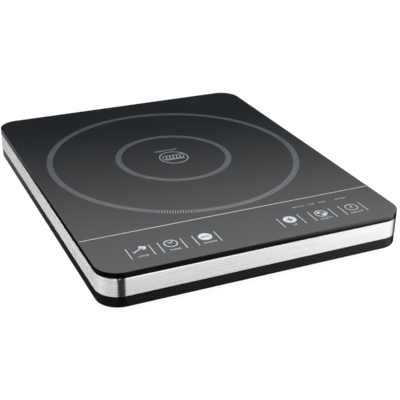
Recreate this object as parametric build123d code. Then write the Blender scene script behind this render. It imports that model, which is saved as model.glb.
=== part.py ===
from build123d import *
import math
import os

# Portable induction cooktop, in millimetres. X runs to the right, Y to the back and Z up from the worktop.
# The origin is the middle of the footprint, on the worktop.

# Glass plate and the case below it
glass_width = 288.0
glass_depth = 363.4
glass_thick = 4.0
glass_corner = 20.8
glass_edge = 0.5
foot_height = 7.8
tray_side_height = 10.7
band_height = 16.9
lip_height = 1.2
seal_thick = 0.4
seal_outer_inset = 0.8
seal_inner_inset = 12.0

tray_bottom = foot_height
band_bottom = tray_bottom + tray_side_height
band_top = band_bottom + band_height
frame_top = band_top + lip_height
glass_bottom = frame_top + seal_thick

# Steel band, frame and tray walls, each measured inwards from the glass edge
band_thick = 0.6
frame_inset = band_thick
frame_wall = 2.0
frame_ledge = 18.0
ledge_thick = 2.2
tray_inset = 0.2
tray_wall = 2.4
tray_round = 2.0
tray_inner_round = 1.2
tongue_height = 3.5
tongue_gap = 0.3
floor_top = tray_bottom + tray_wall
tray_rear = glass_depth / 2 - tray_inset

# Case screws, which join tray and frame
case_screw_spots = [(x, y) for x in (-132.0, 132.0) for y in (-168.0, 0.0, 168.0)]
case_split = band_bottom + 0.5
screw_shank = 1.5
screw_head = 3.2
screw_head_height = 2.0
case_screw_sink = 3.5
case_screw_end = 31.0
case_screw_recess = 3.6
case_post_radius = 4.0
case_post_foot = (5.5, 4.0)
board_post_radius = 3.5
pilot_depth = 8.0

# Feet
foot_spots = {
    "foot_front_left": (-118.0, -146.0),
    "foot_front_right": (118.0, -146.0),
    "foot_rear_left": (-118.0, 146.0),
    "foot_rear_right": (118.0, 146.0),
}
foot_radius = 10.5
foot_edge = 1.2
foot_pad = (5.5, 3.6)
foot_stem_radius = 3.0
foot_stem_height = 4.0

# Cord outlet at the back
gland_x = 90.0
gland_z = 13.8
gland_bore = 3.5
gland_length = 14.0
gland_flange = (20.0, 9.0, 1.4)
gland_barrel = (14.0, 8.4)
gland_pad = (28.0, 8.0)

# Blank rating label under the tray: middle, size and thickness
label_mid = (-6.0, -100.0)
label_size = (70.0, 38.0, 3.0)
label_thick = 0.3

# Coil assembly, centred on the cooking zone
coil_y = 18.3
former_radius = 100.0
former_bottom = 30.0
former_thick = 3.0
former_top = former_bottom + former_thick
coil_inner = 23.0
coil_pitch = 3.3
coil_strand = 2.9
coil_half_turns = 39
coil_thick = 3.0
ferrite_count = 6
ferrite_size = (52.0, 13.0, 4.0)
ferrite_mid = 57.0
ferrite_pocket = 1.5
ferrite_turn = 50.0
vent_size = (44.0, 9.0)
lead_radius = 1.5
lead_height = 22.5
lead_drop = 23.0
lead_bend = 4.0
lead_hole_gap = 0.2
coil_terminal_spots = (8.0, 26.0)
post_radius = 4.0
post_ring = 94.0
post_angles = (160.0, 20.0, 270.0)
ntc_radius = 9.0
ntc_bead = 2.5
mica_radius = 95.0
mica_thick = 0.5
mica_gap = 0.2

# Cooling fan
fan_x = -68.0
fan_y = 126.0
fan_side = 80.0
fan_height = 15.0
fan_throat = 37.5
fan_blades = 7
fan_blade_tip = 36.4
fan_hub = 16.0
fan_shaft = 1.5
fan_bearing_gap = 0.05
fan_hole_spacing = 71.5
fan_corner = 5.0
fan_pin = 2.0
fan_plate = (14.0, 1.5)
fan_strut = 3.0
bearing_size = (3.5, 8.0)
winding_size = (12.0, 6.0)
rotor_lift = 2.5
rotor_gap = 1.0
hub_wall = 1.6
blade_size = (17.0, 1.4)
blade_pitch = 38.0

# Air slots through the tray's floor: slot width, then (middle X, middle Y, count) of each exhaust row
slot_width = 2.6
grille_pitch = 5.4
grille_rim = 3.0
exhaust_length = 24.0
exhaust_pitch = 6.0
exhaust_rows = [(30.0, 88.0, 9), (30.0, 120.0, 9), (-2.0, -28.0, 11)]

# Power board
power_board = (146.0, 100.0, 1.6)
power_board_mid = (51.0, 110.0)
power_board_bottom = 17.0
power_top = power_board_bottom + power_board[2]
power_post_spots = [(-17.0, 65.0), (119.0, 65.0), (-17.0, 155.0), (119.0, 131.0)]
chip_height = 4.8
heatsink_mid = (24.0, 138.0)
heatsink_size = (72.0, 36.0)
heatsink_top = 34.4
heatsink_base = 4.0
heatsink_leg = 3.0
heatsink_fins = 13
heatsink_fin_thick = 1.2

# Components on the power board: middle of each, then its size or radii and height
igbt_spot = (6.0, 138.0)
igbt_size = (16.0, 20.0, chip_height)
rectifier_spot = (38.0, 138.0)
rectifier_size = (26.0, 18.0, chip_height)
resonant_spot = (102.0, 84.0)
resonant_size = (30.0, 18.0, 14.0)
filter_spot = (102.0, 108.0)
filter_size = (30.0, 16.0, 15.0)
transformer_spot = (10.0, 92.0)
transformer_size = (18.0, 15.0, 8.0)
choke_spot = (76.0, 136.0)
choke_size = (11.5, 5.5, 12.0)
fuse_spot = (40.0, 106.0)
fuse_glass = (2.6, 20.0)
fuse_clip = (3.0, 6.0, 6.0)
fuse_clip_reach = 8.0
varistor_spot = (68.0, 112.0)
varistor_size = (7.0, 5.0)
mains_spot = (102.0, 151.0)
mains_size = (24.0, 10.0, 11.0)
mains_pitch = 7.6
mains_hole = (1.8, 12.0)
mains_hole_height = 4.0
coil_terminal_y = 72.0
coil_terminal_size = (8.0, 8.0, 7.0)
lead_end = coil_terminal_y - coil_terminal_size[1] / 2
board_screw_length = 5.0

# Control board, under the touch keys
control_board = (250.0, 34.0, 1.6)
control_board_mid = (0.0, -146.0)
control_bottom = 30.0
control_top = control_bottom + control_board[2]
control_post_spots = [(-118.0, -146.0), (118.0, -146.0), (-20.0, -136.0), (20.0, -136.0)]
control_screw_length = 7.0
key_y = -150.8
spring_radius = 4.5
spring_wall = 0.8
key_spots = [-101.6, -73.1, -41.6, 40.4, 72.2, 104.3]
lamp_y = -132.8
lamp_spots = [54.0, 62.5, 73.5, 85.0, 105.0]
lamp_size = (3.0, 2.0, 4.0)
display_size = (46.0, 16.0, 4.6)
touch_chip_spot = (-57.0, -138.0)
touch_chip_size = (12.0, 12.0, 1.8)
buzzer_spot = (-85.0, -138.0)
buzzer_size = (6.0, 4.5)

# Ribbon between the boards: its run, and its two plugs
ribbon_x = 46.0
ribbon_run = [(62.0, 21.6), (-96.0, 21.6), (-116.0, 27.0), (-127.0, 27.0)]
ribbon_bend = 8.0
ribbon_section = (12.0, 0.9)
plug_size = (16.0, 6.0, 6.0)
plug_back_y = 65.0
plug_front_y = -130.0
plug_front_low = 24.0


def slab(width, depth, corner, low, high):
    """A plate with rounded corners, centred on the origin, between two heights."""
    return Pos(0, 0, low) * extrude(RectangleRounded(width, depth, corner), high - low)


def case_slab(inset, low, high):
    """A plate that follows the glass outline, shrunk by inset all round."""
    return slab(glass_width - 2 * inset, glass_depth - 2 * inset, glass_corner - inset, low, high)


def edges_at(solid, height):
    """The edges that lie flat at one height."""
    return solid.edges().filter_by_position(Axis.Z, height - 0.1, height + 0.1)


def rod(x, y, radius, low, high):
    """An upright cylinder between two heights."""
    return Pos(x, y, (low + high) / 2) * Cylinder(radius, high - low)


def block(x, y, size, low):
    """An upright box standing at height low."""
    return Pos(x, y, low + size[2] / 2) * Box(*size)


def group(solids):
    """Identical loose pieces that share one node."""
    return Compound(children=list(solids))


def board_screw(x, y, seat, length):
    """A pan-head screw driven down at (x, y), its head resting at height seat."""
    head = rod(x, y, screw_head, seat, seat + screw_head_height)
    return head + rod(x, y, screw_shank, seat - length, seat)


def make_glass_plate():
    plate = case_slab(0, glass_bottom, glass_bottom + glass_thick)
    top = glass_bottom + glass_thick
    return chamfer(edges_at(plate, top), glass_edge)


def make_plate_seal():
    return (case_slab(seal_outer_inset, frame_top, glass_bottom)
            - case_slab(seal_inner_inset, frame_top, glass_bottom))


def make_top_frame():
    wall = case_slab(frame_inset, band_bottom, frame_top)
    wall -= case_slab(frame_inset + frame_wall, band_bottom, frame_top - ledge_thick)
    wall -= case_slab(frame_ledge, band_bottom, frame_top)
    lip = case_slab(0, band_top, frame_top) - case_slab(frame_ledge, band_top, frame_top)
    frame = wall + lip
    for x, y in case_screw_spots:
        frame += rod(x, y, case_post_radius, case_split, frame_top - ledge_thick)
        frame -= rod(x, y, screw_shank, case_split, case_screw_end)
    return frame


def make_steel_band():
    return case_slab(0, band_bottom, band_top) - case_slab(band_thick, band_bottom, band_top)


def floor_slot(x, y, length):
    """A cutter for one slot through the tray's floor, its length along Y."""
    mid = Pos(x, y, tray_bottom + tray_wall / 2)
    return mid * extrude(SlotOverall(length, slot_width, rotation=90), tray_wall, both=True)


def fan_grille():
    """Slots under the fan, parallel to Y, clipped to the fan's throat."""
    slots = []
    for step in range(-6, 7):
        offset = step * grille_pitch
        half = math.sqrt(fan_throat ** 2 - offset ** 2)
        slots.append(floor_slot(fan_x + offset, fan_y, 2 * half - grille_rim))
    return slots


def exhaust_slots():
    """Two rows of long slots under the power board and one row under the coil."""
    slots = []
    for mid_x, mid_y, count in exhaust_rows:
        for step in range(count):
            offset = (step - (count - 1) / 2) * exhaust_pitch
            slots.append(floor_slot(mid_x + offset, mid_y, exhaust_length))
    return slots


def make_base_tray():
    tray = case_slab(tray_inset, tray_bottom, band_bottom)
    tray = fillet(edges_at(tray, tray_bottom), tray_round)
    pad_width, pad_depth = gland_pad
    pad = block(gland_x, tray_rear - pad_depth / 2, (pad_width, pad_depth, band_bottom - floor_top), floor_top)
    hollow = case_slab(tray_inset + tray_wall, floor_top, band_bottom)
    hollow = fillet(edges_at(hollow, floor_top), tray_inner_round)
    tray -= hollow - pad
    tongue_inset = frame_inset + frame_wall + tongue_gap
    tray += (case_slab(tongue_inset, band_bottom, band_bottom + tongue_height)
             - case_slab(tray_inset + tray_wall, band_bottom, band_bottom + tongue_height))
    for x, y in case_screw_spots:
        foot_of_post, foot_rise = case_post_foot
        tray += rod(x, y, foot_of_post, floor_top, floor_top + foot_rise)
        tray += rod(x, y, case_post_radius, floor_top, case_split)
    for x, y in foot_spots.values():
        pad_radius, pad_rise = foot_pad
        tray += rod(x, y, pad_radius, floor_top, floor_top + pad_rise)
    for x, y in power_post_spots:
        tray += rod(x, y, board_post_radius, floor_top, power_board_bottom)
        tray -= rod(x, y, screw_shank, floor_top, power_board_bottom)
    for x, y in control_post_spots:
        tray += rod(x, y, board_post_radius, floor_top, control_bottom)
        tray -= rod(x, y, screw_shank, control_bottom - pilot_depth, control_bottom)
    for x, y in coil_post_spots():
        tray += rod(x, y, post_radius, floor_top, former_bottom)
        tray -= rod(x, y, screw_shank, former_bottom - pilot_depth, former_bottom)
    for x, y in fan_pin_spots():
        tray += rod(x, y, fan_pin, floor_top, floor_top + fan_height)
    for x, y in foot_spots.values():
        tray -= rod(x, y, foot_stem_radius, tray_bottom, tray_bottom + foot_stem_height)
    for x, y in case_screw_spots:
        tray -= rod(x, y, screw_shank, tray_bottom, case_split)
        tray -= rod(x, y, case_screw_recess, tray_bottom, tray_bottom + case_screw_sink)
    for slot in fan_grille() + exhaust_slots():
        tray -= slot
    return tray - gland_body()


def gland_body():
    """The gland without its bore: a flange let into the tray's back wall, and a barrel behind it."""
    width, height, thick = gland_flange
    mouth = Pos(gland_x, tray_rear, gland_z) * Rot(90, 0, 0)
    flange = extrude(SlotOverall(width, height), thick)
    barrel = extrude(SlotOverall(*gland_barrel), gland_length)
    return mouth * (flange + barrel)


def make_cable_gland():
    mouth = Pos(gland_x, tray_rear, gland_z) * Rot(90, 0, 0)
    return gland_body() - mouth * extrude(Circle(gland_bore), gland_length)


def make_foot(x, y):
    pad = rod(x, y, foot_radius, 0, foot_height)
    pad = chamfer(edges_at(pad, 0), foot_edge)
    return pad + rod(x, y, foot_stem_radius, foot_height, foot_height + foot_stem_height)


def make_case_screws():
    seat = tray_bottom + case_screw_sink
    head_low = seat - screw_head_height
    return group(rod(x, y, screw_head, head_low, seat) + rod(x, y, screw_shank, seat, case_screw_end)
                 for x, y in case_screw_spots)


def make_rating_label():
    return Pos(*label_mid, tray_bottom - label_thick) * extrude(RectangleRounded(*label_size), label_thick)


def coil_post_spots():
    return [(post_ring * math.cos(math.radians(a)), coil_y + post_ring * math.sin(math.radians(a)))
            for a in post_angles]


def ferrite_angle(index):
    return 360.0 / ferrite_count * index + ferrite_turn


def ferrite_place(index, mid_z):
    return Pos(0, coil_y, mid_z) * Rot(0, 0, ferrite_angle(index)) * Pos(ferrite_mid, 0, 0)


def coil_end_radius(half_turns):
    return coil_inner + half_turns * coil_pitch / 2


def coil_end_spots():
    """Where the coil's inner and outer ends drop through the former, along X."""
    last = coil_half_turns - 1
    return coil_end_radius(0), (last % 2) * coil_pitch / 2 - coil_end_radius(last)


def make_coil_former():
    former = rod(0, coil_y, former_radius, former_bottom, former_top)
    former -= rod(0, coil_y, ntc_radius, former_bottom, former_top)
    length, width, _ = ferrite_size
    for index in range(ferrite_count):
        former -= ferrite_place(index, former_bottom + ferrite_pocket / 2) * Box(length, width, ferrite_pocket)
        between = ferrite_angle(index) + 180.0 / ferrite_count
        vent = Pos(0, coil_y, former_bottom) * Rot(0, 0, between) * Pos(ferrite_mid, 0, 0)
        former -= vent * extrude(SlotOverall(*vent_size), former_thick)
    for x, y in coil_post_spots():
        former -= rod(x, y, screw_shank, former_bottom, former_top)
    for x in coil_end_spots():
        former -= rod(x, coil_y, lead_radius + lead_hole_gap, former_bottom, former_top)
    return former


def make_induction_coil():
    """A flat spiral of half circles about two centres, cut as one outline and thickened."""
    def edge_arcs(offset):
        arcs = []
        for step in range(coil_half_turns):
            mid = (step % 2) * coil_pitch / 2
            radius = coil_end_radius(step) + offset
            side = 1 if step % 2 == 0 else -1
            reach = side * radius
            arcs.append(ThreePointArc((mid + reach, 0), (mid, reach), (mid - reach, 0)))
        return arcs
    outer = edge_arcs(coil_strand / 2)
    inner = edge_arcs(-coil_strand / 2)
    start = Line(inner[0] @ 0, outer[0] @ 0)
    end = Line(outer[-1] @ 1, inner[-1] @ 1)
    face = make_face(Curve() + outer + inner + [start, end])
    return Pos(0, coil_y, former_top) * extrude(face, coil_thick)


def make_ferrite_bar(index):
    return ferrite_place(index, former_bottom + ferrite_pocket - ferrite_size[2] / 2) * Box(*ferrite_size)


def make_insulation_disc():
    low = former_top + coil_thick + mica_gap
    high = low + mica_thick
    return rod(0, coil_y, mica_radius, low, high) - rod(0, coil_y, ntc_radius + 0.5, low, high)


def make_coil_screws():
    return group(board_screw(x, y, former_top, 9.0) for x, y in coil_post_spots())


def make_ntc_holder():
    return (rod(0, coil_y, ntc_radius, former_bottom, glass_bottom)
            - rod(0, coil_y, ntc_bead, former_bottom, glass_bottom))


def make_ntc_sensor():
    return rod(0, coil_y, ntc_bead, glass_bottom - 4.0, glass_bottom)


def fan_pin_spots():
    """The four corners where the fan's frame drops over pins on the tray."""
    half = fan_hole_spacing / 2
    return [(fan_x + dx, fan_y + dy) for dx in (-half, half) for dy in (-half, half)]


def make_fan_frame():
    low = floor_top
    frame = Pos(fan_x, fan_y, low) * extrude(RectangleRounded(fan_side, fan_side, fan_corner), fan_height)
    frame -= rod(fan_x, fan_y, fan_throat, low, low + fan_height)
    for x, y in fan_pin_spots():
        frame -= rod(x, y, fan_pin, low, low + fan_height)
    plate_radius, plate_thick = fan_plate
    frame += rod(fan_x, fan_y, plate_radius, low, low + plate_thick)
    for turn in (45.0, 135.0):
        across = Pos(fan_x, fan_y, low + plate_thick / 2) * Rot(0, 0, turn)
        frame += across * Box(2 * fan_throat + fan_strut, fan_strut, plate_thick)
    return frame


def make_fan_bearing():
    low = floor_top + fan_plate[1]
    radius, height = bearing_size
    bore = fan_shaft + fan_bearing_gap
    return rod(fan_x, fan_y, radius, low, low + height) - rod(fan_x, fan_y, bore, low, low + height)


def make_fan_windings():
    low = floor_top + rotor_lift
    radius, height = winding_size
    high = low + height
    return rod(fan_x, fan_y, radius, low, high) - rod(fan_x, fan_y, bearing_size[0], low, high)


def make_fan_impeller():
    low = floor_top + rotor_lift
    high = floor_top + fan_height - rotor_gap
    hub = rod(fan_x, fan_y, fan_hub, low, high)
    hub -= rod(fan_x, fan_y, fan_hub - hub_wall, low, high - hub_wall)
    hub += rod(fan_x, fan_y, fan_shaft, low - 0.5, high - hub_wall)
    reach = rod(fan_x, fan_y, fan_blade_tip, low, high)
    reach -= rod(fan_x, fan_y, fan_hub - hub_wall / 2, low, high)
    chord, thick = blade_size
    for index in range(fan_blades):
        spoke = Pos(fan_x, fan_y, (low + high) / 2) * Rot(0, 0, 360.0 / fan_blades * index)
        blank = Rot(blade_pitch, 0, 0) * Box(2 * fan_blade_tip, chord, thick)
        hub += (spoke * Pos(fan_blade_tip, 0, 0) * blank) & reach
    return hub


def make_power_board():
    board = block(*power_board_mid, power_board, power_board_bottom)
    for x, y in power_post_spots:
        board -= rod(x, y, screw_shank, power_board_bottom, power_top)
    return board


def make_heatsink():
    x, y = heatsink_mid
    width, depth = heatsink_size
    plate_low = power_top + chip_height
    sink = block(x, y, (width, depth, heatsink_base), plate_low)
    for side in (-1, 1):
        leg_x = x + side * (width - heatsink_leg) / 2
        sink += block(leg_x, y, (heatsink_leg, depth, chip_height), power_top)
    fin_low = plate_low + heatsink_base
    fin = (width, heatsink_fin_thick, heatsink_top - fin_low)
    pitch = (depth - 2.0) / (heatsink_fins - 1)
    for index in range(heatsink_fins):
        sink += block(x, y + (index - (heatsink_fins - 1) / 2) * pitch, fin, fin_low)
    return sink


def make_choke():
    outer, inner, height = choke_size
    return (rod(*choke_spot, outer, power_top, power_top + height)
            - rod(*choke_spot, inner, power_top, power_top + height))


def make_fuse():
    x, y = fuse_spot
    body = Pos(x, y, power_top + fuse_clip[2] / 2) * Rot(0, 90, 0) * Cylinder(*fuse_glass)
    for side in (-1, 1):
        body += block(x + side * fuse_clip_reach, y, fuse_clip, power_top)
    return body


def make_varistor():
    return Pos(*varistor_spot, power_top + varistor_size[0]) * Rot(90, 0, 0) * Cylinder(*varistor_size)


def make_terminal_block():
    x, y = mains_spot
    body = block(x, y, mains_size, power_top)
    for step in (-1, 0, 1):
        mouth = Pos(x + step * mains_pitch, y + mains_size[1] / 2, power_top + mains_hole_height)
        body -= mouth * Rot(90, 0, 0) * Cylinder(*mains_hole)
    return body


def make_coil_terminals():
    return group(block(x, coil_terminal_y, coil_terminal_size, power_top) for x in coil_terminal_spots)


def make_power_board_screws():
    return group(board_screw(x, y, power_top, board_screw_length) for x, y in power_post_spots)


def make_control_board():
    board = block(*control_board_mid, control_board, control_bottom)
    for x, y in control_post_spots:
        board -= rod(x, y, screw_shank, control_bottom, control_top)
    return board


def make_control_board_screws():
    return group(board_screw(x, y, control_top, control_screw_length) for x, y in control_post_spots)


def make_touch_spring(x):
    return (rod(x, key_y, spring_radius, control_top, glass_bottom)
            - rod(x, key_y, spring_radius - spring_wall, control_top, glass_bottom))


def make_indicator_leds():
    return group(block(x, lamp_y, lamp_size, control_top) for x in lamp_spots)


def lead(points):
    """A round wire along straight runs joined by tangent arcs."""
    path = FilletPolyline(*points, radius=lead_bend)
    return sweep(Plane(path @ 0, z_dir=path % 0) * Circle(lead_radius), path=path)


def make_coil_lead_inner():
    x, _ = coil_end_spots()
    terminal = coil_terminal_spots[1]
    return lead([(x, coil_y, former_top), (x, coil_y, lead_drop), (x, 45.0, lead_height),
                 (terminal, 58.0, lead_height), (terminal, lead_end, lead_height)])


def make_coil_lead_outer():
    _, x = coil_end_spots()
    terminal = coil_terminal_spots[0]
    return lead([(x, coil_y, former_top), (x, coil_y, lead_drop), (-40.0, 30.0, lead_height),
                 (terminal, 54.0, lead_height), (terminal, lead_end, lead_height)])


def make_ribbon_cable():
    """A flat ribbon under the coil, from the power board to the control board."""
    path = FilletPolyline(*[(ribbon_x, y, z) for y, z in ribbon_run], radius=ribbon_bend)
    return sweep(Plane(path @ 0, x_dir=(1, 0, 0), z_dir=path % 0) * Rectangle(*ribbon_section), path=path)


def make_ribbon_plugs():
    return group([block(ribbon_x, plug_back_y, plug_size, power_top),
                  block(ribbon_x, plug_front_y, plug_size, plug_front_low)])


parts = {
    "glass_plate": make_glass_plate(),
    "plate_seal": make_plate_seal(),
    "top_frame": make_top_frame(),
    "steel_band": make_steel_band(),
    "base_tray": make_base_tray(),
    "case_screws": make_case_screws(),
    "cable_gland": make_cable_gland(),
    "rating_label": make_rating_label(),
    "coil_former": make_coil_former(),
    "induction_coil": make_induction_coil(),
    "insulation_disc": make_insulation_disc(),
    "coil_screws": make_coil_screws(),
    "ntc_holder": make_ntc_holder(),
    "ntc_sensor": make_ntc_sensor(),
    "fan_frame": make_fan_frame(),
    "fan_bearing": make_fan_bearing(),
    "fan_windings": make_fan_windings(),
    "fan_impeller": make_fan_impeller(),
    "power_board": make_power_board(),
    "heatsink": make_heatsink(),
    "igbt": block(*igbt_spot, igbt_size, power_top),
    "bridge_rectifier": block(*rectifier_spot, rectifier_size, power_top),
    "resonant_capacitor": block(*resonant_spot, resonant_size, power_top),
    "filter_capacitor": block(*filter_spot, filter_size, power_top),
    "standby_transformer": block(*transformer_spot, transformer_size, power_top),
    "choke": make_choke(),
    "fuse": make_fuse(),
    "varistor": make_varistor(),
    "terminal_block": make_terminal_block(),
    "coil_terminals": make_coil_terminals(),
    "power_board_screws": make_power_board_screws(),
    "control_board": make_control_board(),
    "control_board_screws": make_control_board_screws(),
    "display_module": block(0.0, key_y, display_size, control_top),
    "touch_controller": block(*touch_chip_spot, touch_chip_size, control_top),
    "buzzer": rod(*buzzer_spot, buzzer_size[0], control_top, control_top + buzzer_size[1]),
    "indicator_leds": make_indicator_leds(),
    "ribbon_cable": make_ribbon_cable(),
    "ribbon_plugs": make_ribbon_plugs(),
    "coil_lead_inner": make_coil_lead_inner(),
    "coil_lead_outer": make_coil_lead_outer(),
}
for name, (spot_x, spot_y) in foot_spots.items():
    parts[name] = make_foot(spot_x, spot_y)
for number in range(ferrite_count):
    parts[f"ferrite_bar_{number + 1}"] = make_ferrite_bar(number)
for number, spot_x in enumerate(key_spots):
    parts[f"touch_spring_{number + 1}"] = make_touch_spring(spot_x)

os.makedirs("parts", exist_ok=True)
for name, part in parts.items():
    export_step(part, f"parts/{name}.step")
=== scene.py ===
import math

import bmesh
import bpy
from mathutils import Matrix, Vector


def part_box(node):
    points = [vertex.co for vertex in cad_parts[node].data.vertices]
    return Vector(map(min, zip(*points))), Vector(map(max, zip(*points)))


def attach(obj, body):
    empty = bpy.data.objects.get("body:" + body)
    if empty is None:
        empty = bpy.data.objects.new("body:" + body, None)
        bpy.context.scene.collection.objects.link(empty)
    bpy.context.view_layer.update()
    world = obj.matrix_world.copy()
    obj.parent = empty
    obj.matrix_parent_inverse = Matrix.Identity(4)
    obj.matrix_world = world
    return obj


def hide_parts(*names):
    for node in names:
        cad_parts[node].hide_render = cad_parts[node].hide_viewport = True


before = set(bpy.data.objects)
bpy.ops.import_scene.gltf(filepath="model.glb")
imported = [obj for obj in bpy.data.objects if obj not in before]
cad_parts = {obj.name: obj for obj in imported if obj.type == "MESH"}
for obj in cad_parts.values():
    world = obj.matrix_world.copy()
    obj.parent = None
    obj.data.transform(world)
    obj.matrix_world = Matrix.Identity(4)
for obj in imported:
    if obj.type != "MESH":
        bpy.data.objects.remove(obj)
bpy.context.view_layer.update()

# Looks for the portable induction cooktop. All sizes are metres in the model's frame:
# X to the right, Y to the back, Z up, with z = 0 on the worktop.
MM = 0.001
SAME = 1e-6

# Places taken from the frame
GLASS_LOW, GLASS_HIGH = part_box("glass_plate")
BAND_LOW, BAND_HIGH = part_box("steel_band")
COIL_LOW, COIL_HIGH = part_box("coil_former")
GLASS_CORNER = 20.8 * MM
GLASS_TOP_EDGE = 0.12 * MM
GLASS_LOW_EDGE = 0.35 * MM
BAND_THICK = 0.6 * MM
BAND_ROLL = 0.1 * MM
BAND_CRIMP = (0.35 * MM, 1.3 * MM)  # how far the top leans in, and over what height
BAND_GAP = 0.3 * MM                 # shadow gap over the tray

# Print on the glass: its top is at the CAD plate's top, and the glass stops short by its thickness
PRINT_THICK = 0.05 * MM
GLASS_TOP = GLASS_HIGH.z - PRINT_THICK
PRINT_AHEAD = 1.2 * MM  # the print's zone lies this far in front of the coil's middle
ZONE_Y = (COIL_LOW.y + COIL_HIGH.y) / 2 - PRINT_AHEAD
# inner radius, outer radius, number of ticks
OUTER_RING = (122.1 * MM, 128.1 * MM, 330)
INNER_RING = (53.4 * MM, 59.2 * MM, 150)
TICK_WIDTH = 0.62 * MM
FRONT_LINE_Y = -119.5 * MM
FRONT_LINE_WIDTH = 0.95 * MM
FRONT_LINE_MARGIN = 1.2 * MM
KEY_BAR_Y = (-146.6 * MM, -164.4 * MM)
KEY_BAR_WIDTH = 0.7 * MM
LABEL_Y = -162.8 * MM
LABEL_HEIGHT = 3.5 * MM
# name: left bar, right bar, middle of the symbol, middle of the label and its word, in millimetres
KEYS = {
    "lock": (-111.8, -91.3, (-101.8, -152.0), -101.5, "LOCK"),
    "timer": (-83.5, -62.8, (-73.1, -151.8), -72.9, "TIMER"),
    "down": (-51.9, -31.2, (-41.6, -152.2), -41.4, "DOWN"),
    "up": (29.9, 50.9, (40.4, -152.6), 40.3, "UP"),
    "select": (61.8, 82.8, (72.2, -153.0), 72.5, "SELECT"),
    "power": (93.4, 115.2, (104.3, -152.8), 104.2, "ON/OFF"),
}
SYMBOL_RADIUS = 6.1 * MM
LAMP_LABELS = {
    "boil": (59.8, "HEATING"),
    "clock": (73.6, "TIME"),
    "warm": (85.2, "WARM"),
    "standby": (104.8, "STANDBY"),
}
LAMP_LABEL_Y = -133.3 * MM
LAMP_LABEL_HEIGHT = 2.6 * MM
LETTER_SPACING = 1.1
ZONE_LABEL = (-1.0 * MM, 18.6 * MM, 4.0 * MM)  # place from the zone's middle, and height
ZONE_SYMBOL_DROP = 1.0 * MM
ZONE_SYMBOL_RADIUS = 14.9 * MM
COIL_LOOPS = 6
COIL_PITCH = 3.7 * MM
COIL_START = -9.2 * MM


# ---------------------------------------------------------------- camera and studio

KEY_PLACE = (-0.03, -0.25, 0.30)
KEY_SIZE = (0.36, 0.20)
KEY_POWER = 1.2
FILL_SHARE = 0.13  # of the panels' light that reaches matt surfaces

VIEW_AZIMUTH = math.radians(24.50)
VIEW_ELEVATION = math.radians(25.84)
VIEW_DISTANCE = 0.8351
VIEW_TARGET = Vector((-0.01145, -0.07471, 0.03521))
VIEW_ROLL = math.radians(0.654)
VIEW_LENS = 80.30


def place_camera():
    """A long lens from the front left, above the plate."""
    back = Vector((-math.sin(VIEW_AZIMUTH) * math.cos(VIEW_ELEVATION),
                   -math.cos(VIEW_AZIMUTH) * math.cos(VIEW_ELEVATION),
                   math.sin(VIEW_ELEVATION)))
    side = (-back).cross(Vector((0, 0, 1))).normalized()
    up = side.cross(-back)
    right = side * math.cos(VIEW_ROLL) + up * math.sin(VIEW_ROLL)
    top = up * math.cos(VIEW_ROLL) - side * math.sin(VIEW_ROLL)
    camera = bpy.data.objects.new("camera", bpy.data.cameras.new("camera"))
    bpy.context.scene.collection.objects.link(camera)
    turn = Matrix((right, top, back)).transposed().to_4x4()
    camera.matrix_world = Matrix.Translation(VIEW_TARGET + back * VIEW_DISTANCE) @ turn
    camera.data.sensor_width = 36.0
    camera.data.lens = VIEW_LENS
    camera.data.clip_start = 0.01
    bpy.context.scene.camera = camera


def rgb(code):
    """An sRGB hex colour as linear RGBA."""
    values = [int(code[i:i + 2], 16) / 255 for i in (1, 3, 5)]
    return tuple(v / 12.92 if v <= 0.04045 else ((v + 0.055) / 1.055) ** 2.4 for v in values) + (1.0,)


def add(tree, kind, links=None, **settings):
    """Adds a node: settings are its properties or input values, links maps inputs to output sockets."""
    node = tree.nodes.new(kind)
    for name, value in settings.items():
        if hasattr(node, name):
            setattr(node, name, value)
        else:
            node.inputs[name.replace("_", " ")].default_value = value
    for name, socket in (links or {}).items():
        tree.links.new(socket, node.inputs[name])
    return node


def stops(node, points):
    """Sets the stops of a colour ramp from (place, colour) pairs."""
    ramp = node.color_ramp
    while len(ramp.elements) > 1:
        ramp.elements.remove(ramp.elements[-1])
    ramp.elements[0].position, ramp.elements[0].color = points[0]
    for place, colour in points[1:]:
        ramp.elements.new(place).color = colour


def grey(value):
    """A neutral colour of this linear value."""
    return (value, value, value, 1.0)


# The sky panel behind the plate brightens in one smooth sweep with the tangent of its height
SKY_TURN = math.radians(10.0)
SKY_RISE = (0.375, 0.65)
SKY_DARK = 0.10
SKY_FULL = 1.60
SKY_CAP = 1.45
OVERHEAD = 1.6

# Share of full brightness of the side panels against the compass angle from the front, with a black flag
# just in front and another at the right. FLAG_LEVEL is what is left low down, at the front and at the left.
PANEL_FULL = 3.6
PANELS = [(-180, 0.14), (-168, 0.24), (-160, 0.24), (-153, 1.0), (-150, 1.10), (-110, 1.08), (-90, 0.84),
          (-60, 0.66), (-24, 0.66), (-22.4, 0.0), (10.6, 0.0), (12.2, 0.52), (20.7, 0.54), (24.5, 0.51),
          (29.2, 0.61), (33.2, 0.66), (38, 0.70), (60, 0.68), (80, 0.54), (92, 0.01), (146, 0.02),
          (156, 0.20), (180, 0.15)]
FLAG_LEVEL = (0.06, 0.015)


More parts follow.
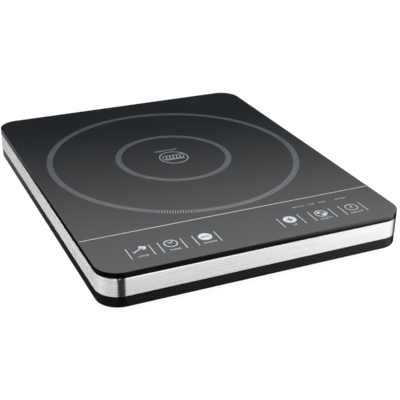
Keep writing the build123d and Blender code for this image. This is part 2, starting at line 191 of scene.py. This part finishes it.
def light_studio():
    """Soft panels all round, drawn in the world, which the camera itself sees as plain white."""
    world = bpy.data.worlds.new("studio")
    bpy.context.scene.world = world
    world.use_nodes = True
    tree = world.node_tree
    tree.nodes.clear()
    place = add(tree, "ShaderNodeTexCoord").outputs["Generated"]
    axes = add(tree, "ShaderNodeSeparateXYZ", {"Vector": place})
    x, y, z = axes.outputs

    def maths(operation, first, second=None, third=None):
        node = add(tree, "ShaderNodeMath", operation=operation)
        for slot, value in zip(node.inputs, (first, second, third)):
            if isinstance(value, (int, float)):
                slot.default_value = value
            elif value is not None:
                tree.links.new(value, slot)
        return node.outputs[0]

    def ease(value, low, high):
        node = add(tree, "ShaderNodeMapRange", {"Value": value}, interpolation_type="SMOOTHSTEP")
        node.inputs["From Min"].default_value = low
        node.inputs["From Max"].default_value = high
        return node.outputs["Result"]

    def blend(share, first, second):
        rest = maths("MULTIPLY", maths("SUBTRACT", 1.0, share), first)
        return maths("ADD", rest, maths("MULTIPLY", share, second))

    ahead = maths("ADD", maths("MULTIPLY", x, math.sin(SKY_TURN)), maths("MULTIPLY", y, math.cos(SKY_TURN)))
    rise = maths("DIVIDE", z, maths("MAXIMUM", ahead, 0.05))
    sweep = maths("MULTIPLY_ADD", ease(rise, *SKY_RISE), SKY_FULL - SKY_DARK, SKY_DARK)
    sky = maths("MINIMUM", sweep, SKY_CAP)

    compass = maths("ARCTAN2", x, maths("MULTIPLY", y, -1.0))
    turn = maths("MULTIPLY_ADD", compass, 0.5 / math.pi, 0.5)
    panel_ramp = add(tree, "ShaderNodeValToRGB", {"Fac": turn})
    stops(panel_ramp, [(a / 360 + 0.5, grey(v)) for a, v in PANELS])
    left = maths("LESS_THAN", compass, math.radians(-5.0))
    front_flag, left_flag = FLAG_LEVEL
    front_reach = blend(ease(z, -0.490, -0.415), front_flag, 1.0)
    left_reach = blend(ease(z, -0.440, -0.270), left_flag, 1.0)
    reach = blend(left, front_reach, left_reach)
    panel = maths("MULTIPLY", maths("MULTIPLY", panel_ramp.outputs["Color"], PANEL_FULL), reach)

    behind = maths("MULTIPLY", ease(ahead, 0.0, 0.15), maths("GREATER_THAN", z, 0.0))
    level = blend(behind, panel, sky)
    overhead = ease(z, 0.60, 0.85)
    level = blend(overhead, level, OVERHEAD)
    ray = add(tree, "ShaderNodeLightPath")
    seen = ray.outputs["Is Camera Ray"]
    level = blend(ray.outputs["Is Diffuse Ray"], level, maths("MULTIPLY", level, FILL_SHARE))
    level = blend(seen, level, 1.0)
    dusk = maths("MULTIPLY", behind, maths("SUBTRACT", 1.0, ease(rise, 0.36, 0.48)))
    cool = maths("MULTIPLY", maths("SUBTRACT", 1.0, seen), maths("MULTIPLY_ADD", dusk, 0.13, 0.02))
    colour = add(tree, "ShaderNodeCombineColor", {
        "Red": maths("MULTIPLY", level, maths("SUBTRACT", 1.0, cool)), "Green": level,
        "Blue": maths("MULTIPLY", level, maths("ADD", 1.0, cool))})
    background = add(tree, "ShaderNodeBackground", {"Color": colour.outputs[0]}, Strength=1.0)
    add(tree, "ShaderNodeOutputWorld", {"Surface": background.outputs[0]})
    bpy.context.scene.view_settings.view_transform = "Standard"


def hang_key_light():
    """A soft light low over the front of the plate, where the print is brightest. Mirrors don't show it."""
    lamp = bpy.data.lights.new("key_light", "AREA")
    lamp.shape = "RECTANGLE"
    lamp.size, lamp.size_y = KEY_SIZE
    lamp.energy = KEY_POWER
    key = bpy.data.objects.new("key_light", lamp)
    key.location = KEY_PLACE
    key.visible_camera = False
    key.visible_glossy = False
    bpy.context.scene.collection.objects.link(key)


def lay_worktop():
    """A plain white worktop, which mirrors pass through so that they show the panels."""
    fresh()
    bpy.ops.mesh.primitive_plane_add(size=8.0)
    top = bpy.context.object
    top.name = "worktop"
    material, _, shader = painted("white_light_table", "#404040", roughness=0.9)
    shader.inputs["Emission Color"].default_value = rgb("#ffffff")
    shader.inputs["Emission Strength"].default_value = 0.97
    top.data.materials.append(material)
    top.visible_glossy = False
    top.visible_diffuse = False


# ---------------------------------------------------------------- materials

def painted(name, code, roughness=0.5, metallic=0.0):
    """A new material with one Principled shader."""
    material = bpy.data.materials.new(name)
    material.use_nodes = True
    tree = material.node_tree
    tree.nodes.clear()
    shader = add(tree, "ShaderNodeBsdfPrincipled", Base_Color=rgb(code), Roughness=roughness,
                 Metallic=metallic)
    add(tree, "ShaderNodeOutputMaterial", {"Surface": shader.outputs[0]})
    return material, tree, shader


def object_place(tree, stretch=(1.0, 1.0, 1.0)):
    """Object coordinates in millimetres, each axis divided by its stretch."""
    place = add(tree, "ShaderNodeTexCoord").outputs["Object"]
    return add(tree, "ShaderNodeMapping", {"Vector": place}, Scale=[1000.0 / s for s in stretch]).outputs[0]


def grain(tree, place, size, detail=2.0, roughness=0.5):
    """Noise whose lumps are about size millimetres across."""
    return add(tree, "ShaderNodeTexNoise", {"Vector": place}, Scale=1.0 / size, Detail=detail,
               Roughness=roughness).outputs["Fac"]


def vary_colour(tree, shader, value, low, high, span=(0.35, 0.65)):
    """Runs the base colour between two hex colours."""
    ramp = add(tree, "ShaderNodeValToRGB", {"Fac": value})
    stops(ramp, [(span[0], rgb(low)), (span[1], rgb(high))])
    tree.links.new(ramp.outputs["Color"], shader.inputs["Base Color"])


def vary_roughness(tree, shader, value, low, high):
    """Runs the roughness between two values."""
    node = add(tree, "ShaderNodeMapRange", {"Value": value})
    for name, number in (("From Min", 0.3), ("From Max", 0.7), ("To Min", low), ("To Max", high)):
        node.inputs[name].default_value = number
    tree.links.new(node.outputs["Result"], shader.inputs["Roughness"])


def raise_surface(tree, shader, value, height, strength=1.0):
    """Bump of this height in millimetres."""
    node = add(tree, "ShaderNodeBump", {"Height": value}, Strength=strength, Distance=height * MM)
    tree.links.new(node.outputs["Normal"], shader.inputs["Normal"])


def black_ceramic_glass():
    """Polished black glass ceramic: nearly black body, mirror gloss with the faintest smear of handling."""
    material, tree, shader = painted("black_ceramic_glass", "#060607", roughness=0.04)
    smear = grain(tree, object_place(tree, (1.0, 2.5, 1.0)), 38.0, detail=4.0)
    vary_roughness(tree, shader, smear, 0.03, 0.06)
    vary_colour(tree, shader, smear, "#050506", "#070708")
    return material


def grey_enamel_print():
    """Screen-printed grey enamel fired on the glass: matt, with the mesh's slight mottle, 0.6 mm across."""
    material, tree, shader = painted("grey_enamel_print", "#bfc3c6", roughness=0.5)
    shader.inputs["Specular IOR Level"].default_value = 0.1
    mottle = grain(tree, object_place(tree), 0.6)
    vary_colour(tree, shader, mottle, "#b0b4b8", "#d0d3d5")
    vary_roughness(tree, shader, mottle, 0.42, 0.6)
    return material


def thin_enamel_print():
    """The same enamel laid thinner for the pan rings, so that the black glass darkens it: 0.6 mm mottle."""
    material, tree, shader = painted("thin_enamel_print", "#a0a4a7", roughness=0.5)
    shader.inputs["Specular IOR Level"].default_value = 0.1
    mottle = grain(tree, object_place(tree), 0.6)
    vary_colour(tree, shader, mottle, "#94989b", "#acb0b3")
    return material


def brushed_stainless():
    """Stainless strip brushed along its length: streaks 0.3 mm apart, highlights drawn out up and down."""
    material, tree, shader = painted("brushed_stainless", "#d3d2cf", roughness=0.27, metallic=1.0)
    streak = grain(tree, object_place(tree, (60.0, 60.0, 0.3)), 1.0, detail=3.0, roughness=0.6)
    vary_colour(tree, shader, streak, "#cdccc8", "#dcdbd8")
    vary_roughness(tree, shader, streak, 0.24, 0.31)
    raise_surface(tree, shader, streak, 0.004, 0.4)
    shader.inputs["Anisotropic"].default_value = 1.0
    shader.inputs["Anisotropic Rotation"].default_value = 0.25
    tangent = add(tree, "ShaderNodeTangent", direction_type="RADIAL", axis="Z")
    tree.links.new(tangent.outputs[0], shader.inputs["Tangent"])
    return material


def moulded_black_abs():
    """Black ABS from a fine-polished mould: semi-gloss, with a faint pebble 0.8 mm across."""
    material, tree, shader = painted("moulded_black_abs", "#08090a", roughness=0.26)
    shader.inputs["Specular IOR Level"].default_value = 0.2
    place = object_place(tree)
    pebble = grain(tree, place, 0.8, detail=3.0)
    vary_colour(tree, shader, grain(tree, place, 14.0, detail=3.0), "#070809", "#0b0c0d")
    vary_roughness(tree, shader, pebble, 0.22, 0.32)
    raise_surface(tree, shader, pebble, 0.02, 0.5)
    return material


def black_silicone():
    """Cured black silicone bead: dull, with shallow waves from the nozzle every 6 mm."""
    material, tree, shader = painted("black_silicone", "#0c0c0d", roughness=0.55)
    wave = grain(tree, object_place(tree), 6.0)
    vary_roughness(tree, shader, wave, 0.45, 0.65)
    vary_colour(tree, shader, wave, "#0a0a0b", "#101011")
    return material


def black_rubber():
    """Moulded rubber: matt, dusty grey-black, with a 1 mm mottle."""
    material, tree, shader = painted("black_rubber", "#1c1c1d", roughness=0.8)
    mottle = grain(tree, object_place(tree), 1.0)
    vary_colour(tree, shader, mottle, "#191919", "#262627")
    raise_surface(tree, shader, mottle, 0.04, 0.5)
    return material


def zinc_plate():
    """Bright zinc plating on screws: pale metal with a light bloom, 0.7 mm patches."""
    material, tree, shader = painted("zinc_plate", "#b9bab8", roughness=0.32, metallic=1.0)
    bloom = grain(tree, object_place(tree), 0.7)
    vary_colour(tree, shader, bloom, "#a9aaa9", "#c9cac8")
    vary_roughness(tree, shader, bloom, 0.25, 0.42)
    return material


def silver_label_film():
    """Blank silver polyester label: satin film with a fine 0.4 mm metallic fleck."""
    material, tree, shader = painted("silver_label_film", "#a9abad", roughness=0.45, metallic=0.4)
    fleck = grain(tree, object_place(tree), 0.4)
    vary_colour(tree, shader, fleck, "#9fa1a3", "#b6b8ba")
    return material


def glass_filled_nylon():
    """Heat-resistant nylon with glass fibre: off-white, dull, fibres 0.3 mm wide and 4 mm long."""
    material, tree, shader = painted("glass_filled_nylon", "#c9c4b4", roughness=0.6)
    fibre = grain(tree, object_place(tree, (1.0, 12.0, 1.0)), 0.35)
    vary_colour(tree, shader, fibre, "#c0bba9", "#d3cfc1")
    return material


def enamelled_copper():
    """Enamelled copper strand: warm metal under amber enamel, strands 0.5 mm apart."""
    material, tree, shader = painted("enamelled_copper", "#b06a3a", roughness=0.3, metallic=0.9)
    strand = grain(tree, object_place(tree), 0.5)
    vary_colour(tree, shader, strand, "#8f4f28", "#c98352")
    return material


def sintered_ferrite():
    """Sintered ferrite: charcoal ceramic with a 0.3 mm grit."""
    material, tree, shader = painted("sintered_ferrite", "#303134", roughness=0.55)
    grit = grain(tree, object_place(tree), 0.3)
    vary_colour(tree, shader, grit, "#28292b", "#3b3c3f")
    return material


def pressed_mica():
    """Pressed mica sheet: straw-coloured flakes 3 mm across with a pearly gloss."""
    material, tree, shader = painted("pressed_mica", "#b9a67c", roughness=0.4)
    flake = grain(tree, object_place(tree), 3.0, detail=4.0)
    vary_colour(tree, shader, flake, "#a8946a", "#cbb98f")
    return material


def white_silicone():
    """White silicone of the sensor seat and wire sleeves: soft sheen, 1.5 mm mottle."""
    material, tree, shader = painted("white_silicone", "#d4d3cf", roughness=0.55)
    mottle = grain(tree, object_place(tree), 1.5)
    vary_colour(tree, shader, mottle, "#cbcac5", "#dddcd8")
    return material


def fan_plastic():
    """Black glass-filled fan moulding: satin with a 1.2 mm flow mottle."""
    material, tree, shader = painted("fan_plastic", "#1d1e20", roughness=0.45)
    flow = grain(tree, object_place(tree), 1.2)
    vary_colour(tree, shader, flow, "#191a1b", "#26282a")
    vary_roughness(tree, shader, flow, 0.38, 0.55)
    return material


def sintered_bronze():
    """Oil-filled sintered bronze bush: dark gold with 0.3 mm pores."""
    material, tree, shader = painted("sintered_bronze", "#8c6a3a", roughness=0.4, metallic=0.9)
    pore = grain(tree, object_place(tree), 0.3)
    vary_colour(tree, shader, pore, "#775730", "#a07c48")
    return material


def green_laminate():
    """Circuit laminate under green solder mask: glossy, with copper areas 5 mm across showing through."""
    material, tree, shader = painted("green_laminate", "#1d5a34", roughness=0.35)
    copper = grain(tree, object_place(tree), 5.0, detail=0.0)
    vary_colour(tree, shader, copper, "#174a2b", "#28693e", span=(0.48, 0.52))
    return material


def extruded_aluminium():
    """Plain extruded aluminium: die lines 0.5 mm apart along X."""
    material, tree, shader = painted("extruded_aluminium", "#b9bbbd", roughness=0.35, metallic=1.0)
    line = grain(tree, object_place(tree, (30.0, 1.0, 1.0)), 0.5)
    vary_colour(tree, shader, line, "#adafb1", "#c8cacc")
    return material


def moulded_epoxy():
    """Black moulding epoxy of chips and relays: matt with a 0.4 mm grain."""
    material, tree, shader = painted("moulded_epoxy", "#202122", roughness=0.6)
    mottle = grain(tree, object_place(tree), 0.4)
    vary_colour(tree, shader, mottle, "#1b1c1d", "#292a2b")
    return material


def red_capacitor_case():
    """Red flame-proof capacitor case: glossy moulding with a 2 mm sink mottle."""
    material, tree, shader = painted("red_capacitor_case", "#96281c", roughness=0.3)
    sink = grain(tree, object_place(tree), 2.0)
    vary_colour(tree, shader, sink, "#872217", "#a63123")
    return material


def turned_brass():
    """Turned brass terminals: yellow metal with tool lines 0.4 mm apart."""
    material, tree, shader = painted("turned_brass", "#b99a56", roughness=0.3, metallic=1.0)
    line = grain(tree, object_place(tree, (1.0, 1.0, 0.3)), 1.0)
    vary_colour(tree, shader, line, "#a8894a", "#c9ab66")
    return material


def white_nylon():
    """Natural nylon connectors and ribbon: creamy white with a 1.5 mm mottle."""
    material, tree, shader = painted("white_nylon", "#d9d5c8", roughness=0.5)
    mottle = grain(tree, object_place(tree), 1.5)
    vary_colour(tree, shader, mottle, "#cfcbbd", "#e2dfd3")
    return material


def smoked_epoxy():
    """Smoked display and lamp epoxy: dark, glossy, faintly cloudy over 2 mm."""
    material, tree, shader = painted("smoked_epoxy", "#2a2224", roughness=0.15)
    cloud = grain(tree, object_place(tree), 2.0)
    vary_colour(tree, shader, cloud, "#241d1f", "#33292c")
    return material


NODE_FINISHES = {
    black_silicone: ["plate_seal"],
    moulded_black_abs: ["top_frame", "base_tray"],
    black_rubber: ["foot_front_left", "foot_front_right", "foot_rear_left", "foot_rear_right",
                   "cable_gland"],
    zinc_plate: ["case_screws", "coil_screws", "power_board_screws", "control_board_screws"]
    + [f"touch_spring_{n}" for n in range(1, 7)],
    silver_label_film: ["rating_label"],
    glass_filled_nylon: ["coil_former"],
    enamelled_copper: ["induction_coil", "fan_windings"],
    sintered_ferrite: [f"ferrite_bar_{n}" for n in range(1, 7)] + ["choke"],
    pressed_mica: ["insulation_disc"],
    white_silicone: ["ntc_holder", "coil_lead_inner", "coil_lead_outer"],
    fan_plastic: ["fan_frame", "fan_impeller"],
    sintered_bronze: ["fan_bearing"],
    green_laminate: ["power_board", "control_board"],
    extruded_aluminium: ["heatsink"],
    moulded_epoxy: ["igbt", "bridge_rectifier", "standby_transformer", "touch_controller", "buzzer",
                    "ntc_sensor"],
    red_capacitor_case: ["resonant_capacitor", "filter_capacitor", "varistor"],
    turned_brass: ["coil_terminals"],
    white_nylon: ["terminal_block", "ribbon_cable", "ribbon_plugs"],
    smoked_epoxy: ["display_module", "indicator_leds", "fuse"],
}


def finish_cad_nodes():
    """Gives every carried-over CAD node its own finish."""
    for make, names in NODE_FINISHES.items():
        material = make()
        for name in names:
            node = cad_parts[name]
            node.data.materials.clear()
            node.data.materials.append(material)


# ---------------------------------------------------------------- modelling helpers

def fresh():
    """Object mode with nothing selected."""
    if bpy.context.object and bpy.context.object.mode != "OBJECT":
        bpy.ops.object.mode_set(mode="OBJECT")
    bpy.ops.object.select_all(action="DESELECT")


def pick(kind, test):
    """Selects only the verts, edges or faces of the mesh in edit mode that pass the test."""
    mesh = bpy.context.object.data
    bm = bmesh.from_edit_mesh(mesh)
    bpy.ops.mesh.select_mode(type={"verts": "VERT", "edges": "EDGE", "faces": "FACE"}[kind])
    bpy.ops.mesh.select_all(action="DESELECT")
    for element in getattr(bm, kind):
        if test(element):
            element.select_set(True)
    bm.select_flush_mode()
    bmesh.update_edit_mesh(mesh)


def at_height(edge, z):
    """Whether both ends of an edge lie at this height."""
    return all(abs(v.co.z - z) < SAME for v in edge.verts)


def settle(name, material, smooth=30.0):
    """Closes a piece: applies its place and modifiers, names it, and lets it ride on the case."""
    bpy.ops.object.mode_set(mode="OBJECT")
    piece = bpy.context.object
    bpy.ops.object.transform_apply(location=True, rotation=True, scale=True)
    for modifier in list(piece.modifiers):
        bpy.ops.object.modifier_apply(modifier=modifier.name)
    bpy.ops.object.shade_smooth_by_angle(angle=math.radians(smooth))
    even = piece.modifiers.new("even", "WEIGHTED_NORMAL")
    even.keep_sharp = True
    bpy.ops.object.modifier_apply(modifier="even")
    piece.name = name
    piece.data.name = name
    piece.data.materials.clear()
    piece.data.materials.append(material)
    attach(piece, "cooktop")
    return piece


def rounded_block(half_width, half_depth, low, high):
    """A block with upright corners as round as the glass, left in edit mode."""
    fresh()
    bpy.ops.mesh.primitive_cube_add(size=1.0, location=(0, 0, (low + high) / 2),
                                    scale=(2 * half_width, 2 * half_depth, high - low))
    bpy.ops.object.transform_apply(location=True, rotation=True, scale=True)
    bpy.ops.object.mode_set(mode="EDIT")
    pick("edges", lambda e: abs(e.verts[0].co.z - e.verts[1].co.z) > SAME)
    bpy.ops.mesh.bevel(offset=GLASS_CORNER, segments=20, affect="EDGES", offset_type="OFFSET")


# ---------------------------------------------------------------- glass and band

def make_glass():
    """The glass plate, with a pencil-polished rim."""
    rounded_block(GLASS_HIGH.x, GLASS_HIGH.y, GLASS_LOW.z, GLASS_TOP)
    pick("edges", lambda e: at_height(e, GLASS_TOP))
    bpy.ops.mesh.bevel(offset=GLASS_TOP_EDGE, segments=2, affect="EDGES")
    pick("edges", lambda e: at_height(e, GLASS_LOW.z))
    bpy.ops.mesh.bevel(offset=GLASS_LOW_EDGE, segments=3, affect="EDGES")
    glass = settle("glass_top", black_ceramic_glass())
    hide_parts("glass_plate")


def make_band():
    """The stainless band: a strip wrapped round the case, its top crimped in a little over the frame."""
    low = BAND_LOW.z + BAND_GAP
    rounded_block(BAND_HIGH.x, BAND_HIGH.y, low, BAND_HIGH.z)
    lean, drop = BAND_CRIMP
    pick("faces", lambda f: f.normal.z > 0.99)
    rim = {v.index for v in bpy.context.object.data.vertices if abs(v.co.z - BAND_HIGH.z) < SAME}
    bpy.ops.mesh.inset(thickness=lean)
    pick("verts", lambda v: v.index in rim)
    bpy.ops.transform.translate(value=(0, 0, -drop))
    for height, share in ((BAND_HIGH.z, BAND_THICK - lean), (low, BAND_THICK)):
        pick("edges", lambda e: at_height(e, height))
        bpy.ops.mesh.bevel(offset=BAND_ROLL, segments=2, affect="EDGES")
        pick("faces", lambda f: abs(f.normal.z) > 0.99 and abs(f.calc_center_median().z - height) < SAME)
        bpy.ops.mesh.inset(thickness=share - BAND_ROLL)
        bpy.ops.mesh.delete(type="FACE")
    pick("edges", lambda e: e.is_boundary)
    bpy.ops.mesh.bridge_edge_loops()
    bpy.ops.mesh.select_all(action="SELECT")
    bpy.ops.mesh.normals_make_consistent(inside=False)
    band = settle("band", brushed_stainless(), smooth=40.0)
    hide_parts("steel_band")


# ---------------------------------------------------------------- print

def print_settle(name, material):
    """Lays a flat outline on the glass as one layer of enamel."""
    bpy.ops.object.mode_set(mode="OBJECT")
    layer = bpy.context.object.modifiers.new("layer", "SOLIDIFY")
    layer.thickness = PRINT_THICK
    layer.offset = 1.0
    piece = settle(name, material)
    return piece


def flat_ring(x, y, inner, outer, sides=64):
    """A flat annulus on the glass, left in object mode."""
    flat_disc(x, y, outer, sides)
    bpy.ops.object.mode_set(mode="EDIT")
    bpy.ops.mesh.select_all(action="SELECT")
    bpy.ops.mesh.inset(thickness=outer - inner, use_even_offset=True)
    bpy.ops.mesh.delete(type="FACE")
    bpy.ops.object.mode_set(mode="OBJECT")
    return bpy.context.object


def flat_bar(x, y, width, length, turn=0.0):
    """A flat bar on the glass, length along Y before it is turned, left in object mode."""
    fresh()
    bpy.ops.mesh.primitive_plane_add(size=1.0, location=(x, y, GLASS_TOP), rotation=(0, 0, turn))
    bpy.context.object.scale = (width, length, 1.0)
    bpy.ops.object.transform_apply(location=True, rotation=True, scale=True)
    return bpy.context.object


def flat_disc(x, y, radius, sides=48):
    """A flat disc on the glass, left in object mode."""
    fresh()
    bpy.ops.mesh.primitive_circle_add(vertices=sides, radius=radius, fill_type="NGON",
                                      location=(x, y, GLASS_TOP))
    bpy.ops.object.transform_apply(location=True)
    return bpy.context.object


def join(pieces):
    """Joins finished flat outlines into one object, which becomes the active one."""
    fresh()
    for piece in pieces:
        piece.select_set(True)
    bpy.context.view_layer.objects.active = pieces[0]
    bpy.ops.object.join()


def cut(target, cutter):
    """Cuts a raised shape out of a solid layer and removes the cutter."""
    fresh()
    bpy.context.view_layer.objects.active = target
    target.select_set(True)
    hole = target.modifiers.new("hole", "BOOLEAN")
    hole.object = cutter
    hole.solver = "EXACT"
    bpy.ops.object.modifier_apply(modifier="hole")
    bpy.data.objects.remove(cutter)


def make_tick_ring(name, ring, material):
    """A pan ring of fine radial ticks: one tick, spun round the zone's middle."""
    inner, outer, count = ring
    flat_bar(0, ZONE_Y + (inner + outer) / 2, TICK_WIDTH, outer - inner)
    bpy.ops.object.mode_set(mode="EDIT")
    bpy.ops.mesh.select_all(action="SELECT")
    bpy.ops.mesh.spin(steps=count, angle=2 * math.pi, center=(0, ZONE_Y, GLASS_TOP), axis=(0, 0, 1),
                      dupli=True)
    bpy.ops.mesh.select_all(action="SELECT")
    bpy.ops.mesh.remove_doubles(threshold=SAME)
    print_settle(name, material)


def make_front_line(material):
    """The line that parts the keys from the cooking zone, from edge to edge."""
    flat_bar(0, FRONT_LINE_Y, 2 * (GLASS_HIGH.x - FRONT_LINE_MARGIN), FRONT_LINE_WIDTH)
    print_settle("front_line", material)


def make_key_bars(material):
    """The pair of thin bars beside each key."""
    length = KEY_BAR_Y[0] - KEY_BAR_Y[1]
    for name, (left, right, *_) in KEYS.items():
        bars = [flat_bar(x * MM, sum(KEY_BAR_Y) / 2, KEY_BAR_WIDTH, length) for x in (left, right)]
        join(bars)
        print_settle(f"key_bars_{name}", material)


def symbol_ring(name, line=0.85 * MM):
    """The circle round a key's symbol."""
    x, y = (v * MM for v in KEYS[name][2])
    return flat_ring(x, y, SYMBOL_RADIUS - line, SYMBOL_RADIUS)


def make_lock_symbol(material):
    """A key: a turned square bow on a slanting stem with one tooth."""
    slant = math.radians(30.0)
    bow = Vector((-97.8, -149.6)) * MM
    tip = Vector((-107.6, -155.3)) * MM
    along = (bow - tip).normalized()
    mid = (bow + tip) / 2
    head = flat_bar(bow.x, bow.y, 5.2 * MM, 6.0 * MM, slant + math.radians(38.0))
    stem = flat_bar(mid.x, mid.y, (bow - tip).length, 1.1 * MM, math.atan2(along.y, along.x))
    foot = tip + along * 0.6 * MM
    tooth = flat_bar(foot.x, foot.y, 1.1 * MM, 2.6 * MM, math.atan2(along.y, along.x))
    join([head, stem, tooth])
    print_settle("symbol_lock", material)


def make_timer_symbol(material):
    """A clock face with two hands."""
    x, y = (v * MM for v in KEYS["timer"][2])
    ring = symbol_ring("timer")
    long_hand = flat_bar(x + 1.2 * MM, y + 1.6 * MM, 0.95 * MM, 4.4 * MM, math.radians(-35.0))
    short_hand = flat_bar(x - 1.0 * MM, y + 1.2 * MM, 0.95 * MM, 3.4 * MM, math.radians(40.0))
    join([ring, long_hand, short_hand])
    print_settle("symbol_timer", material)


def make_step_symbol(name, bars, material):
    """A filled disc with a minus or plus left clear in it."""
    x, y = (v * MM for v in KEYS[name][2])
    flat_disc(x, y, SYMBOL_RADIUS)
    disc = print_settle(f"symbol_{name}", material)
    for width, length in bars:
        fresh()
        bpy.ops.mesh.primitive_cube_add(size=1.0, location=(x, y, GLASS_TOP), scale=(width, length, 2 * MM))
        bpy.ops.object.transform_apply(location=True, rotation=True, scale=True)
        cut(disc, bpy.context.object)


def make_select_symbol(material):
    """A ring with a small filled blob at the upper left and a filled sector at the lower right."""
    x, y = (v * MM for v in KEYS["select"][2])
    ring = symbol_ring("select")
    blob = flat_disc(x - 1.3 * MM, y + 1.7 * MM, 2.1 * MM, sides=24)
    sector = flat_disc(x + 2.1 * MM, y - 2.3 * MM, 2.9 * MM, sides=24)
    neck = flat_bar(x + 0.3 * MM, y - 0.2 * MM, 1.5 * MM, 4.4 * MM, math.radians(35.0))
    join([ring, blob, sector, neck])
    print_settle("symbol_select", material)


def make_power_symbol(material):
    """A ring with an upright bar in its upper half."""
    x, y = (v * MM for v in KEYS["power"][2])
    ring = symbol_ring("power", line=0.75 * MM)
    bar = flat_bar(x, y + 0.9 * MM, 1.2 * MM, 4.6 * MM)
    join([ring, bar])
    print_settle("symbol_power", material)


def make_word(name, text, x, y, height, material):
    """One plain word centred at a place, printed like the rest."""
    fresh()
    bpy.ops.object.text_add(location=(0, 0, 0))
    word = bpy.context.object
    word.data.body = text
    word.data.size = height
    word.data.align_x = "CENTER"
    word.data.align_y = "CENTER"
    word.data.resolution_u = 3
    word.data.space_character = LETTER_SPACING
    bpy.ops.object.convert(target="MESH")
    word = bpy.context.object
    word.location = (x, y, GLASS_TOP)
    bpy.ops.object.transform_apply(location=True)
    bpy.ops.object.mode_set(mode="EDIT")
    bpy.ops.mesh.select_all(action="SELECT")
    bpy.ops.mesh.remove_doubles(threshold=SAME)
    print_settle(name, material)


def make_labels(material):
    """Plain function words under the keys, over the lamps and over the zone's symbol."""
    for name, (_, _, _, middle, text) in KEYS.items():
        make_word(f"label_{name}", text, middle * MM, LABEL_Y, LABEL_HEIGHT, material)
    for name, (middle, text) in LAMP_LABELS.items():
        make_word(f"lamp_label_{name}", text, middle * MM, LAMP_LABEL_Y, LAMP_LABEL_HEIGHT, material)
    x, up, height = ZONE_LABEL
    make_word("zone_label", "INDUCTION", x, ZONE_Y + up, height, material)


def make_zone_symbol(material):
    """The middle mark: a circle with a wound coil drawn across it."""
    middle = ZONE_Y - ZONE_SYMBOL_DROP
    parts = [flat_ring(0.0, middle, ZONE_SYMBOL_RADIUS - 0.8 * MM, ZONE_SYMBOL_RADIUS, sides=96)]
    for step in range(COIL_LOOPS):
        loop = flat_ring(0.0, 0.0, 3.6 * MM, 4.5 * MM)
        loop.scale = (0.52, 1.1, 1.0)
        loop.rotation_euler = (0, 0, math.radians(-16.0))
        loop.location = (COIL_START + COIL_PITCH * step, ZONE_Y + 0.6 * MM, 0.0)
        bpy.ops.object.transform_apply(location=True, rotation=True, scale=True)
        parts.append(loop)
    parts.append(flat_bar(0.4 * MM, ZONE_Y - 5.4 * MM, 20.0 * MM, 0.9 * MM))
    join(parts)
    print_settle("zone_symbol", material)


def make_print():
    """Everything printed on the glass."""
    bright = grey_enamel_print()
    thin = thin_enamel_print()
    make_tick_ring("pan_ring_large", OUTER_RING, thin)
    make_tick_ring("pan_ring_small", INNER_RING, thin)
    make_front_line(bright)
    make_key_bars(bright)
    make_lock_symbol(bright)
    make_timer_symbol(bright)
    make_step_symbol("down", [(7.6 * MM, 1.3 * MM)], bright)
    make_step_symbol("up", [(7.0 * MM, 1.4 * MM), (1.4 * MM, 7.0 * MM)], bright)
    make_select_symbol(bright)
    make_power_symbol(bright)
    make_labels(bright)
    make_zone_symbol(bright)


place_camera()
light_studio()
hang_key_light()
lay_worktop()
finish_cad_nodes()
make_glass()
make_band()
make_print()
